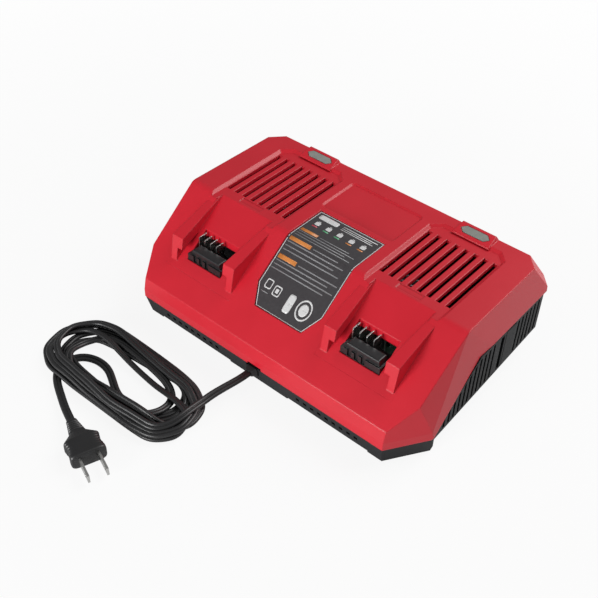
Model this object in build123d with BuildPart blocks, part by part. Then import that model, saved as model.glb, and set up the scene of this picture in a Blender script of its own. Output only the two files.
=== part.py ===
"""Two-bay bench charger for slide-on tool batteries, with a flat two-core mains lead.

Millimetres. X runs across the front, Y from the front to the back, Z up from the bench.
Both bays have the same layout, so what belongs to a bay is built once around its own
centre and placed twice. Depths are measured from the bend in the parting line, and each
finished piece is written with the origin on the bench under the housing's middle.
"""
from build123d import *
import math
import os

os.makedirs("parts", exist_ok=True)

# ---------------------------------------------------------------- housing outline
# Front: an upright lip, a narrow leaning band, then the long slope up to the deck.
front_y = -80.0
lip_low_z = 16.4
lip_top_z = 23.3
lip_half = 110.5
band_top_y = -78.0
band_top_z = 32.6
deck_front_y = -14.0
deck_z = 81.5
deck_back_y = 78.9
back_y = 97.7
back_low_z = 55.5
# Flanks: they lean in towards the deck and are cut off at all four corners.
corner_y = -51.6
corner_half = 129.0
corner_high_half = 121.7
corner_high_y = -58.0
corner_high_z = 45.4
deck_front_half = 122.3
deck_back_half = 121.0
deck_back_side_y = 68.1
deck_back_corner_half = 111.1
rear_half = 124.9
rear_side_y = 88.4
flank_low_half = 125.8
flank_low_y = 83.8
flank_bend_out = 0.7
# Parting line: low along the front, rising along the flanks, then level to the back.
parting_bend_y = 0.4
parting_high_z = 51.6
seam = 0.3
shell = 2.6
deck_shell = 5.2
deck_round = 9.0
edge_round = 1.1
recess_taper = -45.0
reach = 300.0
heart = Vector(0, 0, band_top_z)

# ---------------------------------------------------------------- lower housing
base_z = 0.9
base_front_y = -79.7
base_lip_half = 110.2
base_corner_half = 128.6
base_corner_y = -51.4
base_foot_y = -75.6
base_foot_half = 108.5
base_rear_half = 125.4
base_rear_side_y = 84.0
base_rear_corner_in = 9.9
base_back_y = 96.0
floor_thick = 2.4
tuck_front_y = -47.5
tuck_front_z = 13.4
tuck_rear_z = 19.3
tuck_foot_in = 24.6
arch_near = 27.0
arch_far = 97.0
arch_high = 2.6
front_vent = 3.0
front_vent_pitch = 6.25
front_vent_count = 9
front_vent_centre = 63.1
front_vent_z = 9.4
side_slot = 2.4
side_slot_pitch = 5.6
side_slot_first_y = -37.4
side_slot_front_count = 11
side_slot_rear_y = 50.6
side_slot_rear_count = 6
side_slot_margin = 2.2
side_gap_y = 29.6
side_gap = 4.4
side_pad_y = 40.2
side_pad_long = 12.0
side_pad_proud = 0.3
side_cut_past = 8.8
keyhole_head = 9.0
keyhole_neck = 4.6
keyhole_length = 12.0
keyhole_half = 60.0
keyhole_y = 8.0

# ---------------------------------------------------------------- battery bays
bay_centre = 70.9
rail_outer = 30.3
rail_web = 24.5
rail_lip = 20.1
rail_lip_rear = 24.0
rail_front_y = -56.0
rail_foot_y = -59.6
rail_foot_deep = 1.2
rail_front_z = 66.3
rail_back_y = -12.0
rail_lip_thick = 9.0
grille_z = 79.4
grille_half = 29.4
grille_front_y = -10.0
grille_back_y = 66.8
grille_corner = 6.5
floor_meet_y = -35.5
slot_width = 3.5
slot_pitch = 7.7
slot_count = 8
slot_front_y = -1.5
slot_back_y = 57.3
grille_open_y = -18.0
plaque_width = 20.0
plaque_depth = 5.4
plaque_y = -5.3
plaque_sink = 0.5
pocket_left = -17.2
pocket_right = 15.6
pocket_front_y = -55.4
pocket_back_y = -35.0

# ---------------------------------------------------------------- centre of the deck
label_centre = 1.3
label_half = 28.8
label_top_y = 21.8
label_low_y = -45.0
label_foot_y = -57.6
label_foot_half = 20.8
label_thick = 0.5
label_sink = 1.4
label_gap = 0.3
title_half = 31.0
title_front_y = 27.0
title_back_y = 64.0
title_sink = 1.2
lens_length = 23.0
lens_width = 6.0
lens_tip = 3.2
lens_y = 71.8
lens_thick = 2.4
lens_gap = 0.3
lens_proud = 0.3
bump_length = 30.0
bump_high = 2.6
bump_front_y = 65.5
bump_tip = 3.0
bump_end = 1.2

# ---------------------------------------------------------------- terminals
block_gap = 0.3
block_top_z = 59.5
block_top_left = -12.6
block_top_right = 13.2
block_ledge_z = 55.0
block_ledge = 1.3
block_well_y = -45.2
block_well_z = 50.0
block_head_low_z = 40.0
block_notch = 3.0
block_notch_count = 3
block_column_wide = 24.0
block_column_deep = 12.0
block_base_wide = 36.0
block_base_deep = 24.0
block_base_high = 4.0
blade_thick = 0.8
blade_first = -15.4
blade_pitch = 5.7
blade_count = 4
blade_front_y = -44.6
blade_back_y = -36.4
blade_top_z = 64.0
blade_seat = 6.0

# ---------------------------------------------------------------- electronics
board_z = 10.4
board_thick = 1.6
board_fan_gap = 4.0
board_post_gap = 2.8
board_front_y = -62.0
board_back_y = 66.0
boss_radius = 4.5
boss_inset = 8.0
boss_front_y = -24.0
boss_back_y = 58.0
core_y = 16.0
core_long = 44.0
core_deep = 22.0
core_high = 34.0
core_side_limb = 7.0
core_mid_limb = 14.0
winding_deep = 36.0
winding_round = 3.0
winding_gap = 0.3
sink_half_x = 40.0
sink_y = 4.0
sink_long = 60.0
sink_high = 42.0
sink_plate = 3.0
sink_fin = 1.4
sink_fin_deep = 12.0
sink_fin_count = 9
chip_wide = 10.0
chip_high = 15.0
chip_thick = 4.4
chip_pitch = 18.0
chip_count = 3
chip_lift = 8.0
chip_leg = 0.8
chip_leg_count = 3
chip_leg_pitch = 2.5
can_radius = 9.0
can_high = 31.0
can_half_x = 20.0
can_y = 52.0
choke_ring = 12.0
choke_tube = 4.5
choke_y = -26.0
fuse_radius = 2.6
fuse_long = 20.0
fuse_clip = 4.0
fuse_x = 22.0
fuse_y = -50.0
socket_wide = 14.0
socket_deep = 8.0
socket_high = 9.0
socket_y = -52.0
wire_radius = 1.2
wire_pitch = 5.0
indicator_long = 34.0
indicator_deep = 10.0
indicator_thick = 1.2
indicator_z = 70.8
indicator_post_half = 13.0
indicator_post_radius = 2.2
light_slot_long = 14.0
light_slot_wide = 3.0
lamp_radius = 1.4
lamp_high = 3.0
lamp_pitch = 6.0

# ---------------------------------------------------------------- fan
fan_inset = 29.7
fan_y = 30.0
fan_seat_z = 8.0
fan_size = 40.0
fan_deep = 10.0
fan_bore = 18.4
fan_hub = 8.0
fan_hub_deep = 7.0
fan_tip = 17.6
fan_blade_count = 7
fan_chord = 9.0
fan_blade_thick = 1.2
fan_root_pitch = 48.0
fan_tip_pitch = 62.0
fan_strut = 1.8
fan_strut_count = 3
fan_plate = 1.4
fan_cap = 1.1
fan_pin = 1.2
fan_pin_clear = 0.1
fan_pin_end = 0.6
fan_clear = 0.3
fan_corner = 3.0
fan_hole = 1.7
fan_hole_half = 16.0
cradle_thick = 2.0
cradle_high = 12.0

# ---------------------------------------------------------------- fasteners and feet
post_bay_out = 26.1
post_front_y = -40.0
post_back_y = 74.0
post_radius = 5.0
post_foot_radius = 6.2
post_meet_z = 30.0
post_shelf_z = 16.0
screw_radius = 1.9
screw_clear = 0.15
screw_head_radius = 3.6
screw_head_high = 2.4
screw_long = 27.0
bore_radius = 4.3
board_screw_radius = 1.4
board_screw_long = 7.0
board_screw_head = 3.0
board_screw_head_high = 1.4
foot_radius = 7.5
foot_gap = 0.3
foot_front_inset = 46.5
foot_back_inset = 43.6
foot_front_y = -58.0
foot_back_y = 74.0
foot_sunk = 1.2

# ---------------------------------------------------------------- mains lead
cord_wide = 5.8
cord_thick = 3.2
boot_x = -3.0
boot_z = 11.0
boot_wall_y = -79.2
boot_tip_y = -82.6
boot_root_y = -62.4
boot_wide = 10.2
boot_high = 7.2
boot_round = 2.0
cord_sleeve = 0.7
boot_collar = 2.0
boot_collar_y = -73.2
boot_collar_lip = 1.6
boot_gap = 0.2
notch_x = -0.2
notch_half = 6.1
notch_top_z = 18.4
# The lead hangs from the boot to the side of the hank.
lead_points = [
    Vector(-3.0, -81.6, 11.0),
    Vector(-4.6, -92.6, 10.6),
    Vector(-7.6, -104.4, 8.4),
    Vector(-9.5, -116.8, 5.4),
    Vector(-9.0, -130.0, 4.0),
]
# The tail runs out of the hank's far end, along the bench and up to the plug.
tail_points = [
    Vector(-124.0, -149.0, 1.7),
    Vector(-109.5, -162.6, 1.7),
    Vector(-94.6, -174.8, 2.2),
    Vector(-78.6, -184.6, 5.8),
    Vector(-62.0, -190.6, 6.5),
]
cord_bite = 1.0
cord_bend_share = 0.45
hank_x = -70.0
hank_y = -138.0
hank_long = 140.0
hank_wide = 56.0
hank_band = 18.0
hank_high = 7.4
hank_round = 2.6

# ---------------------------------------------------------------- plug
plug_neck_long = 13.0
plug_neck_wide = 12.0
plug_neck_high = 8.0
plug_body_wide = 24.0
plug_body_high = 13.0
plug_shoulder = 7.0
plug_body_long = 15.0
plug_round = 2.0
plug_blade_gap = 12.7
plug_blade_wide = 6.4
plug_blade_thick = 1.5
plug_blade_long = 16.0
plug_blade_hole = 1.6
plug_blade_hole_at = 12.0


def at_bays():
    """Both bay centres on the deck's axis."""
    return Locations((-bay_centre, 0), (bay_centre, 0))


def slope_z(y):
    """Height of the long front slope at y."""
    rise = (deck_z - band_top_z) / (deck_front_y - band_top_y)
    return band_top_z + rise * (y - band_top_y)


def parting_z(y):
    """Height of the parting line at y on a flank."""
    if y > parting_bend_y:
        return parting_high_z
    rise = (parting_high_z - lip_low_z) / (parting_bend_y - corner_y)
    return lip_low_z + rise * max(0.0, y - corner_y)


def trim(first, second, third, inset):
    """Cut the current solid back to the plane through three points, on both flanks."""
    for side in (1, -1):
        a, b, c = (Vector(side * p.X, p.Y, p.Z) for p in (first, second, third))
        outward = (b - a).cross(c - a).normalized()
        if outward.dot(a - heart) < 0:
            outward = outward * -1
        face = Plane(origin=a - outward * inset, z_dir=outward)
        split(bisect_by=face, keep=Keep.BOTTOM)


def under_parting(lift):
    """Everything below the stepped parting line, raised by lift."""
    with BuildPart() as region:
        with BuildSketch(Plane.YZ.offset(-reach / 2)):
            with BuildLine():
                Polyline(
                    (-reach, -reach),
                    (-reach, lip_low_z + lift),
                    (corner_y, lip_low_z + lift),
                    (parting_bend_y, parting_high_z + lift),
                    (reach, parting_high_z + lift),
                    (reach, -reach),
                    close=True,
                )
            make_face()
        extrude(amount=reach)
    return region.part


def upper_form(inset, deck_inset):
    """The upper housing's faceted outside, or with insets its inside."""
    lip_corner = Vector(lip_half, front_y, lip_low_z)
    lip_end = Vector(corner_half, corner_y, lip_low_z)
    lip_corner_top = Vector(lip_half, front_y, lip_top_z)
    lip_end_top = Vector(corner_half, corner_y, lip_top_z)
    corner_high = Vector(corner_high_half, corner_high_y, corner_high_z)
    deck_front =Vector(deck_front_half, deck_front_y, deck_z)
    deck_side = Vector(deck_back_half, deck_back_side_y, deck_z)
    deck_back = Vector(deck_back_corner_half, deck_back_y, deck_z)
    bend = Vector(flank_low_half + flank_bend_out, parting_bend_y, parting_high_z)
    flank_low = Vector(flank_low_half, flank_low_y, parting_high_z)
    rear = Vector(rear_half, rear_side_y, back_low_z)
    rear_back = rear + (deck_back - deck_side)
    with BuildPart() as form:
        with BuildSketch(Plane.YZ.offset(-reach / 2)):
            with BuildLine():
                Polyline(
                    (front_y, -shell),
                    (front_y, lip_top_z),
                    (band_top_y, band_top_z),
                    (deck_front_y, deck_z),
                    (deck_back_y, deck_z),
                    (back_y, back_low_z),
                    (back_y, -shell),
                    close=True,
                )
            make_face()
            if inset:
                offset(amount=-inset, kind=Kind.INTERSECTION)
        extrude(amount=reach)
        trim(lip_corner, lip_end, lip_corner_top, inset)
        trim(lip_corner_top, lip_end_top, corner_high, inset)
        trim(deck_front, corner_high, lip_end_top, inset)
        trim(deck_front, lip_end_top, bend, inset)
        trim(deck_front, deck_side, flank_low, inset)
        trim(deck_side, deck_back, rear, inset)
        trim(rear, rear_back, rear + Vector(0, 0, -deck_z), inset)
        if deck_inset:
            level = Plane.XY.offset(deck_z - deck_inset)
            split(bisect_by=level, keep=Keep.BOTTOM)
            angle = math.degrees(math.atan2(deck_z - band_top_z, deck_front_y - band_top_y))
            slope = Plane(origin=(0, deck_front_y, deck_z)).rotated((angle, 0, 0))
            split(bisect_by=slope.offset(-deck_inset), keep=Keep.BOTTOM)
    return form.part


def base_form(inset):
    """The lower housing's outside with its tucked-in flanks, or its inside."""
    front_foot = Vector(base_foot_half, base_foot_y, 0)
    lip_corner = Vector(base_lip_half, base_front_y, lip_low_z)
    lip_end = Vector(base_corner_half, base_corner_y, lip_low_z)
    front_lip = Vector(0, base_front_y, lip_low_z)
    front_low = Vector(0, base_foot_y, 0)
    rear_side = Vector(base_rear_half, base_rear_side_y, lip_low_z)
    rear_back = Vector(base_rear_half - base_rear_corner_in, base_back_y, lip_low_z)
    up = Vector(0, 0, lip_low_z)
    tuck_front = Vector(base_corner_half, tuck_front_y, tuck_front_z)
    tuck_rear = Vector(base_rear_half, base_rear_side_y, tuck_rear_z)
    tuck_foot = Vector(base_corner_half - tuck_foot_in, tuck_front_y, 0)
    with BuildPart() as form:
        with BuildSketch(Plane.XY.offset(base_z + (floor_thick if inset else 0))):
            with Locations((0, (base_front_y + base_back_y) / 2)):
                Rectangle(reach, base_back_y - base_front_y - 2 * inset)
        extrude(amount=deck_z)
        trim(front_lip, front_lip + Vector(lip_half, 0, 0), front_low, inset)
        trim(lip_corner, lip_end, front_foot, inset)
        trim(lip_end, rear_side, lip_end + up, inset)
        trim(rear_side, rear_back, rear_side + up, inset)
    with BuildPart() as tucks:
        with BuildSketch(Plane.XY):
            with Locations((0, tuck_front_y - inset)):
                Rectangle(reach, reach, align=(Align.CENTER, Align.MIN))
        extrude(amount=deck_z)
        for side in (1, -1):
            a, b, c = (
                Vector(side * p.X, p.Y, p.Z) for p in (tuck_front, tuck_rear, tuck_foot)
            )
            under = (b - a).cross(c - a).normalized()
            if under.Z > 0:
                under = under * -1
            face = Plane(origin=a - under * inset, z_dir=under)
            lower = split(tucks.part, bisect_by=face, keep=Keep.TOP, mode=Mode.PRIVATE)
            form.part = form.part - lower
    return form.part


def surface_z(y, depth):
    """Height of deck and slope, sunk by depth at right angles to the surface."""
    angle = math.atan2(deck_z - band_top_z, deck_front_y - band_top_y)
    return min(deck_z - depth, slope_z(y) - depth / math.cos(angle))


def surface_knee(depth):
    """Y at which the sunk deck meets the sunk slope."""
    rise = (deck_z - band_top_z) / (deck_front_y - band_top_y)
    angle = math.atan(rise)
    return deck_front_y + (depth / math.cos(angle) - depth) / rise


def label_band(low, high, grow):
    """The label's outline between two depths under the deck and the slope."""
    with BuildPart() as band:
        with BuildSketch(Plane.YZ.offset(-reach / 2)) as profile:
            with BuildLine():
                Polyline(
                    (deck_back_y, deck_z - low),
                    (surface_knee(low), deck_z - low),
                    (front_y, surface_z(front_y, low)),
                    (front_y, surface_z(front_y, high)),
                    (surface_knee(high), deck_z - high),
                    (deck_back_y, deck_z - high),
                    close=True,
                )
            make_face()
            for depth in (low, high):
                corner = Vector(surface_knee(depth), deck_z - depth, 0)
                nearest = profile.vertices().sort_by_distance(corner)[0]
                fillet(nearest, radius=deck_round - depth)
        extrude(amount=reach)
        with BuildSketch(Plane.XY):
            with BuildLine():
                Polyline(
                    (label_centre - label_half, label_top_y),
                    (label_centre + label_half, label_top_y),
                    (label_centre + label_half, label_low_y),
                    (label_centre + label_foot_half, label_foot_y),
                    (label_centre - label_foot_half, label_foot_y),
                    (label_centre - label_half, label_low_y),
                    close=True,
                )
            make_face()
            if grow:
                offset(amount=grow)
        extrude(amount=reach, mode=Mode.INTERSECT)
    return band.part


def rail_form(side):
    """One guide rail of a bay: an upright web with a lip over the battery's groove."""
    start = rail_lip if side > 0 else -rail_outer
    with BuildPart() as rail:
        with BuildSketch(Plane.YZ.offset(start)):
            with BuildLine():
                Polyline(
                    (rail_front_y, rail_front_z),
                    (rail_back_y, grille_z),
                    (rail_back_y, grille_z - deck_shell),
                    (rail_foot_y + rail_foot_deep, slope_z(rail_foot_y) - deck_shell / 2),
                    (rail_foot_y, slope_z(rail_foot_y)),
                    close=True,
                )
            make_face()
        extrude(amount=rail_outer - rail_lip)
        # The battery's groove under the lip.
        with BuildSketch(Plane.YZ.offset(side * (rail_lip + rail_web) / 2)):
            with BuildLine():
                Polyline(
                    (rail_foot_y - shell, rail_front_z - rail_lip_thick),
                    (rail_front_y, rail_front_z - rail_lip_thick),
                    (rail_back_y, grille_z - rail_lip_thick),
                    (rail_back_y, 0),
                    (rail_foot_y - shell, 0),
                    close=True,
                )
            make_face()
        extrude(amount=(rail_web - rail_lip) / 2, both=True, mode=Mode.SUBTRACT)
        # The lip narrows towards the deck.
        with BuildSketch(Plane.XY):
            with BuildLine():
                Polyline(
                    (0, rail_front_y),
                    (side * rail_lip, rail_front_y),
                    (side * rail_lip_rear, rail_back_y),
                    (0, rail_back_y),
                    close=True,
                )
            make_face()
        extrude(amount=reach, mode=Mode.SUBTRACT)
    return rail.part


def bump_form():
    """The raised frame round an indicator lens, highest at its back edge."""
    top = deck_z + bump_high
    with BuildPart() as bump:
        with BuildSketch(Plane.YZ.offset(-reach / 2)):
            with BuildLine():
                Polyline(
                    (bump_front_y, deck_z - edge_round),
                    (bump_front_y + edge_round, deck_z),
                    (deck_back_y - bump_tip, top),
                    (deck_back_y - edge_round, top),
                    (deck_back_y + edge_round, deck_z - bump_high),
                    close=True,
                )
            make_face()
        extrude(amount=reach)
        with BuildSketch(Plane.XZ.offset(-reach / 2)):
            with BuildLine():
                Polyline(
                    (-bump_length / 2 - bump_end, 0),
                    (-bump_length / 2 - bump_end, deck_z - bump_high),
                    (-bump_length / 2 + bump_end, top),
                    (bump_length / 2 - bump_end, top),
                    (bump_length / 2 + bump_end, deck_z - bump_high),
                    (bump_length / 2 + bump_end, 0),
                    close=True,
                )
            make_face()
        extrude(amount=reach, mode=Mode.INTERSECT)
    return bump.part


def lens_plane():
    """The tilted top of an indicator bump, at the lens."""
    run = deck_back_y - bump_tip - bump_front_y - edge_round
    angle = math.degrees(math.atan2(bump_high, run))
    z = deck_z + bump_high * (lens_y - bump_front_y - edge_round) / run
    return Plane(origin=(0, lens_y, z)).rotated((angle, 0, 0))


def lens_form(low, high, grow):
    """A long six-sided lens between two levels of its tilted seat."""
    with BuildPart() as lens:
        with BuildSketch(lens_plane().offset(low)):
            with BuildLine():
                Polyline(
                    (-lens_length / 2, 0),
                    (-lens_length / 2 + lens_tip, lens_width / 2),
                    (lens_length / 2 - lens_tip, lens_width / 2),
                    (lens_length / 2, 0),
                    (lens_length / 2 - lens_tip, -lens_width / 2),
                    (-lens_length / 2 + lens_tip, -lens_width / 2),
                    close=True,
                )
            make_face()
            if grow:
                offset(amount=grow)
        extrude(amount=high - low)
    return lens.part


def deck_cut():
    """The level grille floor and the dished battery floor, round one bay's centre."""
    with BuildPart() as cut:
        with BuildSketch(Plane.XY.offset(grille_z)):
            with BuildLine():
                Polyline(
                    (-grille_half, grille_open_y),
                    (-grille_half, grille_back_y - grille_corner),
                    (-grille_half + grille_corner, grille_back_y),
                    (grille_half - grille_corner, grille_back_y),
                    (grille_half, grille_back_y - grille_corner),
                    (grille_half, grille_open_y),
                    close=True,
                )
            make_face()
        extrude(amount=deck_shell, taper=recess_taper)
        with BuildSketch(Plane.YZ.offset(-rail_web)):
            with BuildLine():
                Polyline(
                    (floor_meet_y, slope_z(floor_meet_y)),
                    (grille_front_y, grille_z),
                    (grille_front_y, deck_z + shell),
                    (floor_meet_y, deck_z + shell),
                    close=True,
                )
            make_face()
        extrude(amount=2 * rail_web)
    return cut.part


def bay_cut():
    """What goes right through the deck for one bay, round its own centre."""
    with BuildPart() as cut:
        # Louvre slots.
        with BuildSketch(Plane.XY.offset(deck_z - 2 * deck_shell)):
            with Locations((0, (slot_front_y + slot_back_y) / 2)):
                with GridLocations(slot_pitch, 1, slot_count, 1):
                    Rectangle(slot_width, slot_back_y - slot_front_y)
        extrude(amount=2 * deck_shell)
        # Blank plaque pressed into the strip in front of the louvres.
        with BuildSketch(Plane.XY.offset(grille_z - plaque_sink)):
            with Locations((0, plaque_y)):
                Rectangle(plaque_width, plaque_depth)
        extrude(amount=deck_shell)
        # Way through for the terminal block.
        with BuildSketch(Plane.XY.offset(block_head_low_z)):
            with Locations(pocket_centre(0)):
                Rectangle(pocket_right - pocket_left, pocket_back_y - pocket_front_y)
        extrude(amount=deck_z - block_head_low_z)
        # Light shaft under the indicator lens.
        with BuildSketch(Plane.XY.offset(deck_z - 2 * deck_shell)):
            with Locations((0, lens_y)):
                Rectangle(light_slot_long, light_slot_wide)
        extrude(amount=2 * deck_shell)
    return cut.part


def pocket_centre(z):
    """Middle of the terminal pocket, from the bay's own centre."""
    return Vector((pocket_left + pocket_right) / 2, (pocket_front_y + pocket_back_y) / 2, z)


def flank_half(y):
    """Half width over the base's flanks at y, above the tuck."""
    share = (y - base_corner_y) / (base_rear_side_y - base_corner_y)
    return base_corner_half + share * (base_rear_half - base_corner_half)


def post_spots():
    """The four housing screws, just outside the bays."""
    x = bay_centre + post_bay_out
    return Locations((-x, post_front_y), (x, post_front_y), (-x, post_back_y), (x, post_back_y))


def boss_spots():
    """The four board screws, seen from above."""
    x = board_half_x - boss_inset
    return Locations((-x, boss_front_y), (x, boss_front_y), (-x, boss_back_y), (x, boss_back_y))


def foot_spots():
    """The four rubber feet, seen from above."""
    front_x = flank_half(foot_front_y) - foot_front_inset
    back_x = flank_half(foot_back_y) - foot_back_inset
    return Locations(
        (-front_x, foot_front_y), (front_x, foot_front_y),
        (-back_x, foot_back_y), (back_x, foot_back_y),
    )


def finish(piece, name):
    """Label a finished piece and write it, with the origin under the housing's middle."""
    piece.part.label = name
    placed = piece.part.moved(Location((0, -(front_y + back_y) / 2, 0)))
    export_step(placed, f"parts/{name}.step")
    print(name, "solids", len(placed.solids()), "volume", round(placed.volume))


board_top = board_z + board_thick
floor_top = base_z + floor_thick
fan_x = flank_half(fan_y) - fan_inset
fan_z = fan_seat_z + fan_size / 2
board_half_x = min(
    fan_x - fan_deep / 2 - board_fan_gap,
    bay_centre + post_bay_out - post_foot_radius - board_post_gap,
)
sides = {"left": -bay_centre, "right": bay_centre}


# ================================================================ upper housing
with BuildPart() as posts:
    with BuildSketch(Plane.XY.offset(post_meet_z)):
        with post_spots():
            Circle(post_radius)
    extrude(amount=deck_z - post_meet_z)
    with BuildSketch(Plane.XY.offset(indicator_z + indicator_thick)):
        with at_bays():
            with Locations((-indicator_post_half, lens_y), (indicator_post_half, lens_y)):
                Circle(indicator_post_radius)
    extrude(amount=deck_z - indicator_z - indicator_thick)
    # They end halfway through the wall.
    add(upper_form(shell / 2, deck_shell / 2), mode=Mode.INTERSECT)

with BuildPart() as upper_housing:
    add(upper_form(0, 0))
    knee = upper_housing.edges().filter_by(Axis.X).filter_by(
        lambda e: abs(e.center().Z - deck_z) < seam and e.center().Y < 0
    )
    fillet(knee, radius=deck_round)
    ridges = upper_housing.edges().filter_by(
        lambda e: e.center().Z > band_top_z - seam and e.center().Y < deck_back_y + seam
    )
    front_ridge = ridges.filter_by(Axis.X).sort_by(Axis.Y)[0]
    back_ridge = ridges.filter_by(Axis.X).sort_by(Axis.Y)[-1]
    fillet([front_ridge, back_ridge], radius=edge_round)
    with at_bays():
        add(deck_cut(), mode=Mode.SUBTRACT)
    with at_bays():
        add(rail_form(1))
        add(rail_form(-1))
        add(bump_form())
    add(upper_form(shell, deck_shell), mode=Mode.SUBTRACT)
    add(under_parting(seam / 2), mode=Mode.SUBTRACT)
    with at_bays():
        add(bay_cut(), mode=Mode.SUBTRACT)
        add(lens_form(-lens_thick, lens_thick, lens_gap), mode=Mode.SUBTRACT)
    add(label_band(label_sink, -deck_shell, label_gap), mode=Mode.SUBTRACT)
    # Shallow field behind the label.
    with BuildSketch(Plane.XY.offset(deck_z - title_sink)):
        with Locations((0, (title_front_y + title_back_y) / 2)):
            RectangleRounded(2 * title_half, title_back_y - title_front_y, shell)
    extrude(amount=deck_shell, taper=recess_taper, mode=Mode.SUBTRACT)
    # Notch in the lip over the mains lead.
    with BuildSketch(Plane.XZ.offset(-front_y - 2 * shell)):
        with Locations((notch_x, 0)):
            Rectangle(2 * notch_half, 2 * notch_top_z)
    extrude(amount=3 * shell, mode=Mode.SUBTRACT)
    # Screw posts and indicator studs come down from inside the deck and the slope.
    add(posts.part)
    with BuildSketch(Plane.XY.offset(post_meet_z)):
        with post_spots():
            Circle(screw_radius + screw_clear)
    extrude(amount=post_shelf_z + screw_long - post_meet_z + shell, mode=Mode.SUBTRACT)
finish(upper_housing, "upper_housing")

# ================================================================ lower housing
def tuck_z(y):
    """Height at which a flank starts to tuck in under itself at y."""
    rise = (tuck_rear_z - tuck_front_z) / (base_rear_side_y - tuck_front_y)
    return tuck_front_z + rise * (y - tuck_front_y)


def flank_slot(y, wide, margin):
    """Outline of one flank slot, between the tuck and the parting line."""
    near = y - wide / 2
    far = y + wide / 2
    return [
        (near, tuck_z(near) + margin),
        (far, tuck_z(far) + margin),
        (far, parting_z(far) - margin),
        (near, parting_z(near) - margin),
    ]


with BuildPart() as base_outside:
    add(base_form(0))
    # Smooth pad between the two rows of flank slots.
    for side in (-1, 1):
        with BuildSketch(Plane.YZ.offset(side * (flank_half(side_pad_y) + side_pad_proud))):
            with BuildLine():
                Polyline(*flank_slot(side_pad_y, side_pad_long, side_slot_margin / 2), close=True)
            make_face()
        extrude(amount=-side * (shell + side_pad_proud))

with BuildPart() as lower_housing:
    add(base_outside.part)
    add(under_parting(-seam / 2), mode=Mode.INTERSECT)
    add(base_form(shell), mode=Mode.SUBTRACT)
    # Screw posts and board bosses rise from the floor.
    with BuildSketch(Plane.XY.offset(base_z)):
        with post_spots():
            Circle(post_foot_radius)
    extrude(amount=post_meet_z - base_z)
    with BuildSketch(Plane.XY.offset(base_z)):
        with boss_spots():
            Circle(boss_radius)
    extrude(amount=board_z - base_z)
    # Plinth under the fan, and cradle ribs on either side of it.
    cradle_long = fan_size + 2 * (cradle_thick + fan_clear)
    with BuildSketch(Plane.XY.offset(base_z)):
        with Locations((fan_x, fan_y)):
            Rectangle(fan_deep, cradle_long)
    extrude(amount=fan_seat_z - base_z)
    with BuildSketch(Plane.XY.offset(fan_seat_z)):
        with Locations((fan_x, fan_y)):
            with GridLocations(1, cradle_long - cradle_thick, 1, 2):
                Rectangle(fan_deep, cradle_thick)
    extrude(amount=cradle_high)
    # The posts and the plinth stop at the outside of the tucked flanks.
    add(base_outside.part, mode=Mode.INTERSECT)
    with BuildSketch(Plane.XY):
        with post_spots():
            Circle(bore_radius)
    extrude(amount=post_shelf_z, mode=Mode.SUBTRACT)
    with BuildSketch(Plane.XY):
        with post_spots():
            Circle(screw_radius + screw_clear)
    extrude(amount=post_meet_z, mode=Mode.SUBTRACT)
    with BuildSketch(Plane.XY.offset(board_top - board_screw_long)):
        with boss_spots():
            Circle(board_screw_radius + screw_clear)
    extrude(amount=board_screw_long, mode=Mode.SUBTRACT)
    with BuildSketch(Plane.XY):
        with foot_spots():
            Circle(foot_radius + foot_gap)
    extrude(amount=base_z + foot_sunk, mode=Mode.SUBTRACT)
    # Low arches under the front wall.
    with BuildSketch(Plane.XZ.offset(-base_foot_y - shell)):
        with Locations(((arch_near + arch_far) / 2, 0), (-(arch_near + arch_far) / 2, 0)):
            Rectangle(arch_far - arch_near, 2 * arch_high)
    extrude(amount=3 * shell, mode=Mode.SUBTRACT)
    # Two rows of small square vents in the front wall.
    with BuildSketch(Plane.XZ.offset(-base_foot_y - 2 * shell)):
        with Locations((-front_vent_centre, front_vent_z), (front_vent_centre, front_vent_z)):
            with GridLocations(front_vent_pitch, 1, front_vent_count, 1):
                Rectangle(front_vent, front_vent)
    extrude(amount=4 * shell, mode=Mode.SUBTRACT)
    # Flank slots, and the wide gap beside the pad.
    for side in (-1, 1):
        cuts = [(side_gap_y, side_gap)]
        for i in range(side_slot_front_count):
            cuts.append((side_slot_first_y + i * side_slot_pitch, side_slot))
        for i in range(side_slot_rear_count):
            cuts.append((side_slot_rear_y + i * side_slot_pitch, side_slot))
        widest = max(base_corner_half, base_rear_half) + shell
        side_cut_depth = abs(base_corner_half - base_rear_half) + side_cut_past
        with BuildSketch(Plane.YZ.offset(side * widest)):
            for y, wide in cuts:
                with BuildLine():
                    Polyline(*flank_slot(y, wide, side_slot_margin), close=True)
                make_face()
        extrude(amount=-side * side_cut_depth, mode=Mode.SUBTRACT)
    # Keyholes for hanging the charger on two wall screws.
    with BuildSketch(Plane.XY):
        with Locations((-keyhole_half, keyhole_y), (keyhole_half, keyhole_y)):
            Circle(keyhole_head / 2)
            with Locations((0, keyhole_length / 2)):
                SlotOverall(keyhole_length + keyhole_neck, keyhole_neck, rotation=90)
    extrude(amount=floor_top, mode=Mode.SUBTRACT)
    # Slot for the strain relief, open at the parting line.
    with BuildSketch(Plane.XZ.offset(-base_foot_y - 2 * shell)):
        with Locations((boot_x, boot_z - boot_high / 2 - boot_gap)):
            Rectangle(
                boot_wide + 2 * boot_gap,
                lip_top_z,
                align=(Align.CENTER, Align.MIN),
            )
    extrude(amount=4 * shell, mode=Mode.SUBTRACT)
finish(lower_housing, "lower_housing")

# ================================================================ label and indicators
with BuildPart() as display_label:
    add(label_band(label_sink, label_sink - label_thick, 0))
finish(display_label, "display_label")

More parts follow.
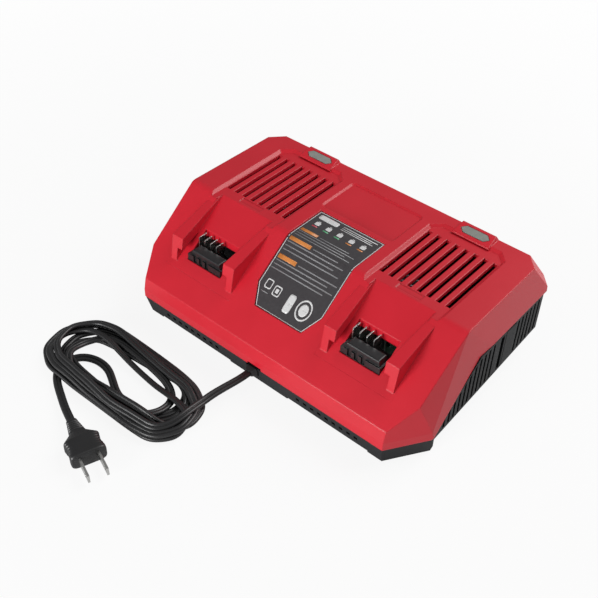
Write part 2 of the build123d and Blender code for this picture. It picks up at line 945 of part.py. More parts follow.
for name, centre in sides.items():
    with BuildPart() as indicator_lens:
        with Locations((centre, 0)):
            add(lens_form(-lens_thick, lens_proud, 0))
    finish(indicator_lens, f"indicator_lens_{name}")

    with BuildPart() as indicator_board:
        with BuildSketch(Plane.XY.offset(indicator_z)):
            with Locations((centre, lens_y)):
                Rectangle(indicator_long, indicator_deep)
        extrude(amount=indicator_thick)
    finish(indicator_board, f"indicator_board_{name}")

with BuildPart() as indicator_lamps:
    with BuildSketch(Plane.XY.offset(indicator_z + indicator_thick)):
        with at_bays():
            with Locations((0, lens_y)):
                with GridLocations(lamp_pitch, 1, 2, 1):
                    Circle(lamp_radius)
    extrude(amount=lamp_high)
finish(indicator_lamps, "indicator_lamps")

# ================================================================ terminals
for name, centre in sides.items():
    with BuildPart() as contact_blades:
        blade_y = (blade_front_y + blade_back_y) / 2
        blade_x = centre + blade_first + blade_pitch * (blade_count - 1) / 2
        with BuildSketch(Plane.XY.offset(block_well_z - blade_seat)):
            with Locations((blade_x, blade_y)):
                with GridLocations(blade_pitch, 1, blade_count, 1):
                    Rectangle(blade_thick, blade_back_y - blade_front_y)
        extrude(amount=blade_top_z - block_well_z + blade_seat)
        tips = contact_blades.edges().filter_by(Axis.X).group_by(Axis.Z)[-1]
        chamfer(tips, length=blade_thick)

    with BuildPart() as terminal_block:
        middle = pocket_centre(0) + Vector(centre, 0, 0)
        head_wide = pocket_right - pocket_left - 2 * block_gap
        head_deep = pocket_back_y - pocket_front_y - 2 * block_gap
        with BuildSketch(Plane.XY.offset(board_top)):
            with Locations(middle):
                Rectangle(block_base_wide, block_base_deep)
        extrude(amount=block_base_high)
        with BuildSketch(Plane.XY.offset(board_top)):
            with Locations(middle):
                Rectangle(block_column_wide, block_column_deep)
        extrude(amount=block_well_z - board_top)
        with BuildSketch(Plane.XY.offset(block_head_low_z)):
            with Locations(middle):
                Rectangle(head_wide, head_deep)
        extrude(amount=block_well_z - block_head_low_z)
        # Ledge and upright wall in front of the blades, narrower towards the top.
        wall_front_y = pocket_front_y + block_gap + block_ledge
        ledge_front_y = pocket_front_y + block_gap
        for front, top, left, right in (
            (ledge_front_y, block_ledge_z, pocket_left + block_gap, pocket_right - block_gap),
            (wall_front_y, block_top_z, block_top_left, block_top_right),
        ):
            with BuildSketch(Plane.XZ.offset(-front)):
                with BuildLine():
                    Polyline(
                        (centre + pocket_left + block_gap, block_well_z),
                        (centre + left, top),
                        (centre + right, top),
                        (centre + pocket_right - block_gap, block_well_z),
                        close=True,
                    )
                make_face()
            extrude(amount=front - block_well_y)
        top_edges = terminal_block.edges().group_by(Axis.Z)[-1]
        fillet(top_edges, radius=edge_round)
        # Notches in the ledge and in the wall's back edge, in line with the battery's blades.
        last_blade_x = centre + blade_first + blade_pitch * (blade_count - 1)
        notch_mid = last_blade_x - blade_pitch * (block_notch_count - 1) / 2
        with BuildSketch(Plane.XY.offset(block_well_z)):
            for y, deep in ((ledge_front_y, 2 * block_ledge), (block_well_y, 2 * edge_round)):
                with Locations((notch_mid, y)):
                    with GridLocations(blade_pitch, 1, block_notch_count, 1):
                        Rectangle(block_notch, deep)
        extrude(amount=block_top_z - block_well_z, mode=Mode.SUBTRACT)
        add(contact_blades.part, mode=Mode.SUBTRACT)
    finish(terminal_block, f"terminal_block_{name}")
    finish(contact_blades, f"contact_blades_{name}")

# ================================================================ main board
with BuildPart() as main_circuit_board:
    with BuildSketch(Plane.XY.offset(board_z)):
        with Locations((0, (board_front_y + board_back_y) / 2)):
            Rectangle(2 * board_half_x, board_back_y - board_front_y)
        with boss_spots():
            Circle(board_screw_radius + screw_clear, mode=Mode.SUBTRACT)
    extrude(amount=board_thick)
finish(main_circuit_board, "main_circuit_board")

window = (core_long - core_mid_limb - 2 * core_side_limb) / 2
winding_high = core_high - 2 * core_side_limb
with BuildPart() as transformer_core:
    with BuildSketch(Plane.XZ.offset(-core_y - core_deep / 2)):
        with Locations((0, board_top)):
            Rectangle(core_long, core_high, align=(Align.CENTER, Align.MIN))
        with Locations((0, board_top + core_high / 2)):
            with GridLocations(core_mid_limb + window, 1, 2, 1):
                Rectangle(window, winding_high, mode=Mode.SUBTRACT)
    extrude(amount=core_deep)
finish(transformer_core, "transformer_core")

with BuildPart() as transformer_winding:
    with BuildSketch(Plane.XY.offset(board_top + core_side_limb + winding_gap)):
        with Locations((0, core_y)):
            outer_wide = core_mid_limb + 2 * window - 2 * winding_gap
            RectangleRounded(outer_wide, winding_deep, winding_round)
            inner_wide = core_mid_limb + 2 * winding_gap
            Rectangle(inner_wide, core_deep + 2 * winding_gap, mode=Mode.SUBTRACT)
    extrude(amount=winding_high - 2 * winding_gap)
finish(transformer_winding, "transformer_winding")

for name, side in (("left", -1), ("right", 1)):
    with BuildPart() as heat_sink:
        with BuildSketch(Plane.XY.offset(board_top)):
            with Locations((side * (sink_half_x + sink_plate / 2), sink_y)):
                Rectangle(sink_plate, sink_long)
            fin_x = side * (sink_half_x + sink_plate + sink_fin_deep / 2)
            fin_pitch = (sink_long - sink_fin) / (sink_fin_count - 1)
            with Locations((fin_x, sink_y)):
                with GridLocations(1, fin_pitch, 1, sink_fin_count):
                    Rectangle(sink_fin_deep, sink_fin)
        extrude(amount=sink_high)
    finish(heat_sink, f"heat_sink_{name}")

with BuildPart() as power_transistors:
    with BuildSketch(Plane.XY.offset(board_top + chip_lift)):
        for side in (-1, 1):
            with Locations((side * (sink_half_x - chip_thick / 2), sink_y)):
                with GridLocations(1, chip_pitch, 1, chip_count):
                    Rectangle(chip_thick, chip_wide)
    extrude(amount=chip_high)
    # Three legs each, down to the board.
    with BuildSketch(Plane.XY.offset(board_top)):
        for side in (-1, 1):
            with Locations((side * (sink_half_x - chip_thick / 2), sink_y)):
                with GridLocations(1, chip_pitch, 1, chip_count):
                    with GridLocations(1, chip_leg_pitch, 1, chip_leg_count):
                        Rectangle(chip_leg, chip_leg)
    extrude(amount=chip_lift)
finish(power_transistors, "power_transistors")

with BuildPart() as bulk_capacitors:
    with BuildSketch(Plane.XY.offset(board_top)):
        with Locations((-can_half_x, can_y), (can_half_x, can_y)):
            Circle(can_radius)
    extrude(amount=can_high)
    chamfer(bulk_capacitors.edges().group_by(Axis.Z)[-1], length=edge_round)
finish(bulk_capacitors, "bulk_capacitors")

with BuildPart() as filter_choke:
    # Wound ring, with the wire's bundle rounded off at its rims.
    with BuildSketch(Plane.XZ.offset(-choke_y)) as bundle:
        with Locations((choke_ring, board_top + choke_tube)):
            Rectangle(2 * choke_tube, 2 * choke_tube)
        chamfer(bundle.vertices(), length=choke_tube / 2)
    revolve(axis=Axis((0, choke_y, 0), (0, 0, 1)))
finish(filter_choke, "filter_choke")

with BuildPart() as fuse:
    fuse_z = board_top + fuse_radius + edge_round
    with BuildSketch(Plane.YZ.offset(fuse_x - fuse_long / 2)):
        with Locations((fuse_y, fuse_z)):
            Circle(fuse_radius)
    extrude(amount=fuse_long)
    # Spring clips under both ends.
    with BuildSketch(Plane.XY.offset(board_top)):
        with Locations((fuse_x, fuse_y)):
            with GridLocations(fuse_long - fuse_clip, 1, 2, 1):
                Rectangle(fuse_clip, 2 * (fuse_radius + edge_round))
    extrude(amount=fuse_z - board_top)
finish(fuse, "fuse")

with BuildPart() as mains_socket:
    with BuildSketch(Plane.XY.offset(board_top)):
        with Locations((boot_x, socket_y)):
            Rectangle(socket_wide, socket_deep)
    extrude(amount=socket_high)
finish(mains_socket, "mains_socket")

# ================================================================ fan
fan_left = fan_x - fan_deep / 2
plate_left = fan_left + fan_deep - fan_plate
hub_left = plate_left - fan_clear - fan_hub_deep
bore_left = hub_left + fan_cap
with BuildPart() as fan_frame:
    with BuildSketch(Plane.YZ.offset(fan_left)):
        with Locations((fan_y, fan_z)):
            RectangleRounded(fan_size, fan_size, fan_corner)
            Circle(fan_bore, mode=Mode.SUBTRACT)
            with GridLocations(2 * fan_hole_half, 2 * fan_hole_half, 2, 2):
                Circle(fan_hole, mode=Mode.SUBTRACT)
    extrude(amount=fan_deep)
    # Motor plate on its struts, with the pin that carries the rotor.
    with BuildSketch(Plane.YZ.offset(plate_left)):
        with Locations((fan_y, fan_z)):
            Circle(fan_hub)
            with PolarLocations(fan_bore / 2, fan_strut_count):
                Rectangle(fan_bore + fan_corner, fan_strut)
    extrude(amount=fan_plate)
    with BuildSketch(Plane.YZ.offset(bore_left + fan_pin_end)):
        with Locations((fan_y, fan_z)):
            Circle(fan_pin)
    extrude(amount=plate_left - bore_left - fan_pin_end)
finish(fan_frame, "fan_frame")

with BuildPart() as fan_rotor:
    with BuildSketch(Plane.YZ.offset(hub_left)):
        with Locations((fan_y, fan_z)):
            Circle(fan_hub)
    extrude(amount=fan_hub_deep)
    with BuildSketch(Plane.YZ.offset(bore_left)):
        with Locations((fan_y, fan_z)):
            Circle(fan_pin + fan_pin_clear)
    extrude(amount=fan_hub_deep, mode=Mode.SUBTRACT)
    axle = Vector(hub_left + fan_hub_deep / 2, fan_y, fan_z)
    for i in range(fan_blade_count):
        turn = math.radians(i * 360 / fan_blade_count)
        radial = Vector(0, math.cos(turn), math.sin(turn))
        tangent = Vector(0, -math.sin(turn), math.cos(turn))
        for distance, pitch in ((fan_hub - fan_plate, fan_root_pitch), (fan_tip, fan_tip_pitch)):
            with BuildSketch(Plane(origin=axle + radial * distance, x_dir=tangent, z_dir=radial)):
                Rectangle(fan_chord, fan_blade_thick, rotation=90 - pitch)
        loft()
    with BuildSketch(Plane.YZ.offset(hub_left)):
        with Locations((fan_y, fan_z)):
            Circle(fan_tip)
    extrude(amount=fan_hub_deep, mode=Mode.INTERSECT)
finish(fan_rotor, "fan_rotor")

# ================================================================ fasteners and feet
with BuildPart() as housing_screws:
    with BuildSketch(Plane.XY.offset(post_shelf_z - screw_head_high)):
        with post_spots():
            Circle(screw_head_radius)
    extrude(amount=screw_head_high)
    with BuildSketch(Plane.XY.offset(post_shelf_z - screw_head_high)):
        with post_spots():
            RegularPolygon(screw_radius, 6)
    extrude(amount=edge_round, mode=Mode.SUBTRACT)
    with BuildSketch(Plane.XY.offset(post_shelf_z)):
        with post_spots():
            Circle(screw_radius)
    extrude(amount=screw_long)
finish(housing_screws, "housing_screws")

with BuildPart() as board_screws:
    with BuildSketch(Plane.XY.offset(board_top)):
        with boss_spots():
            Circle(board_screw_head)
    extrude(amount=board_screw_head_high)
    chamfer(board_screws.edges().group_by(Axis.Z)[-1], length=board_screw_head_high / 2)
    with BuildSketch(Plane.XY.offset(board_top)):
        with boss_spots():
            Circle(board_screw_radius)
    extrude(amount=screw_clear - board_screw_long)
finish(board_screws, "board_screws")

with BuildPart() as rubber_feet:
    with BuildSketch(Plane.XY):
        with foot_spots():
            Circle(foot_radius)
    extrude(amount=base_z + foot_sunk)
finish(rubber_feet, "rubber_feet")

# ================================================================ mains lead
sleeve_wide = cord_wide + 2 * cord_sleeve
sleeve_high = cord_thick + 2 * cord_sleeve
with BuildPart() as strain_relief:
    with BuildSketch(Plane.XZ.offset(-boot_root_y)):
        with Locations((boot_x, boot_z)):
            RectangleRounded(boot_wide, boot_high, boot_round)
    extrude(amount=boot_root_y - boot_wall_y)
    with BuildSketch(Plane.XZ.offset(-boot_wall_y)):
        with Locations((boot_x, boot_z)):
            RectangleRounded(boot_wide, boot_high, boot_round)
    with BuildSketch(Plane.XZ.offset(-boot_tip_y)):
        with Locations((boot_x, boot_z)):
            RectangleRounded(sleeve_wide, sleeve_high, boot_round)
    loft()
    # Collar behind the wall.
    with BuildSketch(Plane.XZ.offset(-boot_collar_y - boot_collar)):
        with Locations((boot_x, boot_z)):
            Rectangle(boot_wide + 2 * boot_collar_lip, boot_high + boot_collar_lip)
    extrude(amount=boot_collar)
finish(strain_relief, "strain_relief")

with BuildPart() as mains_wires:
    with BuildSketch(Plane.XZ.offset(-boot_root_y)):
        with Locations((boot_x, board_top + wire_radius)):
            with GridLocations(wire_pitch, 1, 2, 1):
                Circle(wire_radius)
    extrude(amount=boot_root_y - socket_y + socket_deep / 2)
finish(mains_wires, "mains_wires")


def corner_radii(points):
    """Radius of the arc at each inner point, as large as its two runs allow."""
    radii = []
    for before, here, after in zip(points, points[1:], points[2:]):
        turn = math.radians((here - before).get_angle(after - here))
        shorter = min((here - before).length, (after - here).length)
        radii.append(cord_bend_share * shorter / math.tan(turn / 2))
    return radii


def cord_tube(points):
    """Flat two-core cord swept along straight runs joined by arcs."""
    radii = corner_radii(points)
    with BuildPart() as tube:
        with BuildLine() as route:
            FilletPolyline(*points, radius=radii)
        start = points[1] - points[0]
        across = start.cross(Vector(0, 0, 1))
        with BuildSketch(Plane(origin=points[0], x_dir=across, z_dir=start)):
            SlotOverall(cord_wide, cord_thick)
        sweep()
    section = (cord_wide - cord_thick) * cord_thick + math.pi * cord_thick**2 / 4
    length = sum(edge.length for edge in route.line.edges())
    print("cord length", round(length, 1), "radii", [round(r) for r in radii])
    print("cord volume over section times length", round(tube.part.volume / section / length, 4))
    return tube.part


with BuildPart() as cord_hank:
    with BuildSketch(Plane.XY):
        with Locations((hank_x, hank_y)):
            SlotOverall(hank_long, hank_wide)
            inner_long = hank_long - 2 * hank_band
            SlotOverall(inner_long, hank_wide - 2 * hank_band, mode=Mode.SUBTRACT)
    extrude(amount=hank_high)
    rims = cord_hank.edges().group_by(Axis.Z)
    chamfer(rims[-1], length=hank_round)
finish(cord_hank, "cord_hank")

with BuildPart() as power_lead:
    add(cord_tube(lead_points))
    add(cord_hank.part, mode=Mode.SUBTRACT)
    add(strain_relief.part, mode=Mode.SUBTRACT)
finish(power_lead, "power_lead")

# ================================================================ plug
last_run = tail_points[-1] - tail_points[-2]
heading = Vector(last_run.X, last_run.Y, 0).normalized()
across = heading.cross(Vector(0, 0, 1))
plug_root = tail_points[-1] - heading * cord_bite


def plug_plane(distance):
    """Plane across the plug at a distance from where the cord goes in."""
    return Plane(origin=plug_root + heading * distance, x_dir=across, z_dir=heading)


plug_face = plug_neck_long + plug_shoulder + plug_body_long
with BuildPart() as plug_body:
    with BuildSketch(plug_plane(0)):
        RectangleRounded(sleeve_wide, sleeve_high, plug_round)
    with BuildSketch(plug_plane(plug_neck_long)):
        RectangleRounded(plug_neck_wide, plug_neck_high, plug_round)
    loft()
    with BuildSketch(plug_plane(plug_neck_long)):
        RectangleRounded(plug_neck_wide, plug_neck_high, plug_round)
    with BuildSketch(plug_plane(plug_neck_long + plug_shoulder)):
        RectangleRounded(plug_body_wide, plug_body_high, plug_round)
    loft()
    with BuildSketch(plug_plane(plug_neck_long + plug_shoulder)):
        RectangleRounded(plug_body_wide, plug_body_high, plug_round)
    extrude(amount=plug_body_long)
finish(plug_body, "plug_body")

with BuildPart() as power_tail:
    add(cord_tube(tail_points))
    add(cord_hank.part, mode=Mode.SUBTRACT)
    add(plug_body.part, mode=Mode.SUBTRACT)
finish(power_tail, "power_tail")

with BuildPart() as plug_blades:
    with BuildSketch(plug_plane(plug_face)):
        with GridLocations(plug_blade_gap, 1, 2, 1):
            Rectangle(plug_blade_thick, plug_blade_wide)
    extrude(amount=plug_blade_long)
    hole_spot = plug_root + heading * (plug_face + plug_blade_hole_at)
    with BuildSketch(Plane(origin=hole_spot, x_dir=heading, z_dir=across)):
        Circle(plug_blade_hole)
    extrude(amount=plug_blade_gap, both=True, mode=Mode.SUBTRACT)
finish(plug_blades, "plug_blades")
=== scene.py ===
# %% [markdown]
# # A two-bay battery charger, dressed around its CAD model
#
# The charger is a wedge: a red upper shell with two railed bays over a black base, a
# printed label between the bays, and a flat mains lead laid in loose loops in front.
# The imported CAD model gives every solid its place. This lesson adds what a CAD model
# leaves out: the single cord of the loops, the print on the label, and the finishes.

# %% The frame
import bpy
import math
import numpy as np
from mathutils import Matrix, Vector


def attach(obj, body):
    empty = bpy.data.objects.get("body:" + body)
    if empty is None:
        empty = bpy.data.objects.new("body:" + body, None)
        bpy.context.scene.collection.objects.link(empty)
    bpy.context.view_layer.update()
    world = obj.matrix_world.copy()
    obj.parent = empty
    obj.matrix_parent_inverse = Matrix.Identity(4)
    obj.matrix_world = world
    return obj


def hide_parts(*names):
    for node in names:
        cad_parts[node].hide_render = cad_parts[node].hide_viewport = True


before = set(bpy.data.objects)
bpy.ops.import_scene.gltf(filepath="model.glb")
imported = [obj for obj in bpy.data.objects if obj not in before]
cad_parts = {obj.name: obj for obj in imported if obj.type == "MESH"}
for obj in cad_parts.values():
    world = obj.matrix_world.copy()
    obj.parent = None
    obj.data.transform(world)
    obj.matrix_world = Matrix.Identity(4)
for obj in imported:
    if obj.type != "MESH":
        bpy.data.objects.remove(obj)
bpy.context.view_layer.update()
MM = 0.001

# %% [markdown]
# ## The camera
#
# A camera is three directions and a place. The directions come from how far it is turned
# round the charger, how high it looks down from, and how much it is rolled. Working the
# matrix out from those angles keeps the view exact, where dragging a camera would not.

# %% Camera
TURN, HEIGHT, ROLL = math.radians(39.73), math.radians(41.8), math.radians(1.64)
AIM, DISTANCE = Vector((-13.62, -26.15, 30.0)), 692.75
SENSOR, FOCAL_PIXELS, FRAME_PIXELS = 36, 955.08, 598
back = Vector((math.sin(TURN) * math.cos(HEIGHT), -math.cos(TURN) * math.cos(HEIGHT), math.sin(HEIGHT)))
right = Vector((math.cos(TURN), math.sin(TURN), 0))
up = back.cross(right)
rolled_right = math.cos(ROLL) * right + math.sin(ROLL) * up
rolled_up = math.cos(ROLL) * up - math.sin(ROLL) * right
eye = AIM * MM + back * DISTANCE * MM

optics = bpy.data.cameras.new("camera")
optics.sensor_width = SENSOR
optics.lens = SENSOR * FOCAL_PIXELS / FRAME_PIXELS
camera = bpy.data.objects.new("camera", optics)
camera.matrix_world = Matrix((
    (rolled_right.x, rolled_up.x, back.x, eye.x),
    (rolled_right.y, rolled_up.y, back.y, eye.y),
    (rolled_right.z, rolled_up.z, back.z, eye.z),
    (0, 0, 0, 1)))
bpy.context.scene.collection.objects.link(camera)
bpy.context.scene.camera = camera
print("camera at", [round(v, 4) for v in eye], "lens", round(optics.lens, 1))

# %% [markdown]
# ## Surfaces from numbers
#
# Every new piece below is a grid of points: rings along a path, or rows across a sheet.
# Two helpers do the joining. `patches_mesh` turns grids of points into faces with
# whole-array arithmetic, and `put` makes the object and lets it ride on the charger.


# %% Mesh helpers
def grid_faces(rows, columns, closed):
    """Quads between neighbouring points of a grid; closed joins the last column to the first."""
    r = np.arange(rows - 1)[:, None]
    c = np.arange(columns if closed else columns - 1)[None, :]
    n = (c + 1) % columns
    corners = (r * columns + c, r * columns + n, (r + 1) * columns + n, (r + 1) * columns + c)
    return np.stack(corners, axis=-1).reshape(-1, 4)


def patches_mesh(name, patches, closed=False, caps=False):
    """One mesh from several arrays of rows x columns x 3 points; caps close both ends of a tube."""
    points, faces, start = [], [], 0
    for patch in patches:
        rows, columns = patch.shape[:2]
        faces += (grid_faces(rows, columns, closed) + start).tolist()
        if caps:
            faces.append(list(range(start + columns - 1, start - 1, -1)))
            faces.append(list(range(start + (rows - 1) * columns, start + rows * columns)))
        points.append(patch.reshape(-1, 3))
        start += rows * columns
    mesh = bpy.data.meshes.new(name)
    mesh.from_pydata(np.concatenate(points).tolist(), [], faces)
    mesh.update()
    return mesh


def put(name, mesh):
    """A smooth-shaded object at the origin for a finished mesh, riding on the charger."""
    mesh.polygons.foreach_set("use_smooth", np.full(len(mesh.polygons), True))
    piece = bpy.data.objects.new(name, mesh)
    bpy.context.scene.collection.objects.link(piece)
    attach(piece, "charger")
    print(name, "faces", len(mesh.polygons))
    return piece


# %% [markdown]
# ## The mains lead
#
# The lead is one cord of two cores. It leaves the boot in the front wall, crosses over the
# right end of the loops, runs a little over six times round them and slips out under the
# left end towards its plug. Drawing it as one spline keeps its length honest: a loop that
# grows takes its length from somewhere. Each turn is a long flat ring, two straight runs
# between half circles, and the rings differ in length and width so that they fan out.


# %% Turns of the lead
def ring_point(turn, half_long, half_wide, centre_x, centre_y):
    """Point at a share of a turn round a long ring, clockwise from its right end.

    The ring is walked by arc length: quarter circle, run, half circle, run, quarter circle.
    """
    half_run = half_long - half_wide
    arc = math.pi * half_wide
    gone = (turn % 1) * (4 * half_run + 2 * arc)
    if gone < arc / 2:
        a = gone / half_wide
        return centre_x + half_run + half_wide * math.cos(a), centre_y - half_wide * math.sin(a)
    gone -= arc / 2
    if gone < 2 * half_run:
        return centre_x + half_run - gone, centre_y - half_wide
    gone -= 2 * half_run
    if gone < arc:
        a = gone / half_wide
        return centre_x - half_run - half_wide * math.sin(a), centre_y - half_wide * math.cos(a)
    gone -= arc
    if gone < 2 * half_run:
        return centre_x - half_run + gone, centre_y + half_wide
    a = (gone - 2 * half_run) / half_wide
    return centre_x + half_run + half_wide * math.sin(a), centre_y + half_wide * math.cos(a)


def walk(points, step):
    """Points a step apart along a line of points, by the length gone since its start."""
    lengths = np.r_[0, np.cumsum(np.linalg.norm(np.diff(points, axis=0), axis=1))]
    at = np.linspace(0, lengths[-1], int(lengths[-1] / step) + 1)
    return np.stack([np.interp(at, lengths, column) for column in points.T], axis=1)


def soften(points, reach):
    """Each point becomes a bell-weighted mean of its neighbours; both ends stay put."""
    bell = np.hanning(2 * reach + 3)[1:-1]
    padded = np.concatenate([points[:1].repeat(reach, 0), points, points[-1:].repeat(reach, 0)])
    mean = np.stack([np.convolve(column, bell / bell.sum(), "valid") for column in padded.T], axis=1)
    mean[0], mean[-1] = points[0], points[-1]
    return mean


# Where each turn passes the right end, both ends of the front run, the left end, and both
# ends of the back run, in millimetres. Runs that change places cross over one another.
TURNS = np.arange(7)
RIGHT_X = [-9, -2, -3, -4, -26, -14, -20]
FRONT_Y = [-175, -169, -175, -174, -174, -175, -163, -169, -169, -163, -168, -169, -163, -160]
LEFT_X = [-134, -135, -140, -116, -122, -128, -128]
BACK_Y = [-121, -127, -133, -139, -121, -121, -127, -133, -131, -127, -121, -122, -127, -127]
FRONT_AT = (TURNS[:, None] + (0.12, 0.38)).ravel()
FIRST_TURN, LAST_TURN, POINTS_A_TURN = 0.20, 6.22, 16
loops = []
for turn in np.arange(FIRST_TURN, LAST_TURN, 1 / POINTS_A_TURN):
    right_x, left_x = np.interp(turn, TURNS, RIGHT_X), np.interp(turn, TURNS + 0.5, LEFT_X)
    front_y, back_y = np.interp(turn, FRONT_AT, FRONT_Y), np.interp(turn, FRONT_AT + 0.5, BACK_Y)
    x, y = ring_point(turn, (right_x - left_x) / 2, (back_y - front_y) / 2,
                      (right_x + left_x) / 2, (front_y + back_y) / 2)
    wander = 0.8 * math.sin(5.3 * turn) + 0.4 * math.sin(11.9 * turn + 1)
    loops.append((x, y + wander))

# The run from the boot to the loops, and the tail from under them to the plug.
lead_in = [(-3, -90.6), (-3.6, -98), (-6.6, -110), (-9.3, -122),
           (-9.8, -134), (-9, -146), (-10.5, -158), (-17, -168)]
tail_out = [(-84, -149), (-96, -148), (-107.5, -152.5), (-113, -163), (-110.5, -174),
            (-101, -181.5), (-90, -187), (-77, -193.5), (-62, -199.5)]
FINE_STEP, STEP = 2.0, 4.0
plan = walk(soften(walk(np.array(lead_in + loops + tail_out), FINE_STEP), 4), STEP)
print("points from above", len(plan))

# %% [markdown]
# The heights follow from how a lead lies. It is laid from the plug's end back to the boot:
# each point drops until it meets the bench or stands thick * sqrt(1 - (d / wide)^2) above a
# strand at a distance d that is already there. That is only an estimate: it leaves out how
# the flat section leans, and softening lowers the humps, so where strands cross or lie close
# they still run into one another. At its ends the lead slopes down from the boot's mouth and
# curves up to the plug's neck.

# %% Heights of the lead
THICK, WIDE, BENCH_Z = 3.6, 5.8, 2.5
BOOT_Z, BOOT_FALL = 11.0, 0.08
PLUG_Z, PLUG_RISE = 6.5, 40
OWN_POINTS = 7


def lay_down(points):
    """Height of each point of a cord that is laid on a bench from its last point to its first.

    A point's own next few neighbours along the cord don't hold it up.
    """
    height = np.full(len(points), BENCH_Z)
    for i in range(len(points) - OWN_POINTS - 1, -1, -1):
        gap = np.linalg.norm(points[i + OWN_POINTS:] - points[i], axis=1)
        near = gap < WIDE
        if near.any():
            rest = height[i + OWN_POINTS:][near] + THICK * np.sqrt(1 - (gap[near] / WIDE) ** 2)
            height[i] = max(height[i], rest.max())
    return height


level = soften(lay_down(plan)[:, None], 3)[:, 0]
from_boot = np.linspace(0, STEP * (len(plan) - 1), len(plan))
level = soften(np.maximum(level, BOOT_Z - BOOT_FALL * from_boot)[:, None], 2)[:, 0]
to_plug = from_boot[::-1]
level += np.clip(1 - to_plug / PLUG_RISE, 0, 1) ** 1.5 * (PLUG_Z - level)
route = np.c_[plan, level] * MM
print("route points", len(route), "highest", round(level.max(), 1), "mm")

# %% [markdown]
# A NURBS spline of order three rounds the route without going through its corners. The
# tube needs its points evenly spaced, so the spline is turned to a bare line of edges,
# read back, and walked by arc length.

# %% Spline of the lead
RING_STEP = 0.0012
line = bpy.data.curves.new("lead_line", "CURVE")
line.dimensions = "3D"
line.resolution_u = 6
spline = line.splines.new("NURBS")
spline.points.add(len(route) - 1)
spline.points.foreach_set("co", np.c_[route, np.ones(len(route))].ravel())
spline.order_u = 3
spline.use_endpoint_u = True
guide = bpy.data.objects.new("lead_line", line)
bare = bpy.data.meshes.new_from_object(guide)
walked = np.zeros(len(bare.vertices) * 3)
bare.vertices.foreach_get("co", walked)
walked = walked.reshape(-1, 3)
bpy.data.objects.remove(guide)
path = soften(walk(walked, RING_STEP), 3)
lead_length = np.linalg.norm(np.diff(path, axis=0), axis=1).sum()
even = np.linspace(0, lead_length, len(path))
print("lead length", round(lead_length, 3), "m, rings", len(path))

# %% [markdown]
# The lead's section is two round cores side by side under one jacket, with a groove on
# each flat. Seen from the middle, the jacket's radius in any direction is the far side of
# the nearer core's circle, so one formula draws both cores and the groove. The lead leans
# one way and the other as it goes, and lies level at both ends.


# %% Jacket of the lead
def two_core_ring(count, core, apart):
    """Section of a two-core jacket: radius = apart |cos| + sqrt(core^2 - apart^2 sin^2)."""
    a = np.linspace(0, -2 * math.pi, count, endpoint=False)
    radius = apart * np.abs(np.cos(a)) + np.sqrt(core ** 2 - (apart * np.sin(a)) ** 2)
    return radius * np.cos(a), radius * np.sin(a)


def flat_tube(line_points, ring, roll):
    """A section carried along a line, kept level and then rolled about it by an angle per point.

    Point = line + across * width + over * height, where across and over are the rolled axes.
    """
    along = np.gradient(line_points, axis=0)
    along /= np.linalg.norm(along, axis=1)[:, None]
    side = np.cross(along, (0, 0, 1))
    side /= np.linalg.norm(side, axis=1)[:, None]
    above = np.cross(side, along)
    across = np.cos(roll)[:, None] * side + np.sin(roll)[:, None] * above
    over = np.cos(roll)[:, None] * above - np.sin(roll)[:, None] * side
    wide, high = ring
    return line_points[:, None] + across[:, None] * wide[None, :, None] + over[:, None] * high[None, :, None]


CORE, APART, RING_POINTS, LEVEL_END = 1.6 * MM, 1.3 * MM, 32, 0.08
lean = 0.25 + 0.35 * np.sin(even / 0.071) + 0.20 * np.sin(even / 0.031 + 1)
settle = np.clip(even / LEVEL_END, 0, 1) * np.clip((lead_length - even) / LEVEL_END, 0, 1)
tube = flat_tube(path, two_core_ring(RING_POINTS, CORE, APART), lean * settle)
mains_lead = put("mains_lead", patches_mesh("mains_lead", [tube], closed=True, caps=True))

# %% [markdown]
# The plug is moulded round the lead's end in the same vinyl. Its neck has rings so that it
# bends little by little, and its sides are dished and ridged for the fingers. All of that
# is one row of rounded sections whose width, height and squareness change along the plug.

# %% Moulded plug
SECTION_POINTS = 64


def moulded_body(root, heading, at, half_wide, half_high, power):
    """Sections |x / a|^p + |z / b|^p = 1 carried along a level heading, one for each distance."""
    a = np.linspace(0, -2 * math.pi, SECTION_POINTS, endpoint=False)
    c, s = np.cos(a)[None, :], np.sin(a)[None, :]
    grow = (np.abs(c) ** power[:, None] + np.abs(s) ** power[:, None]) ** (-1 / power[:, None])
    side = np.array([heading[1], -heading[0], 0])
    wide, high = (half_wide[:, None] * grow * c)[..., None], (half_high[:, None] * grow * s)[..., None]
    return (root + at[:, None, None] * heading + wide * side + high * np.array([0, 0, 1])) * MM


def waves(at, start, end, count, depth):
    """So many grooves of a depth between two distances, and none outside them.

    Depth = depth / 2 * (1 - cos(2 pi * count * share of the way from start to end)).
    """
    inside = (at > start) & (at < end)
    share = (at - start) / (end - start)
    return np.where(inside, depth * (0.5 - 0.5 * np.cos(2 * math.pi * count * share)), 0)


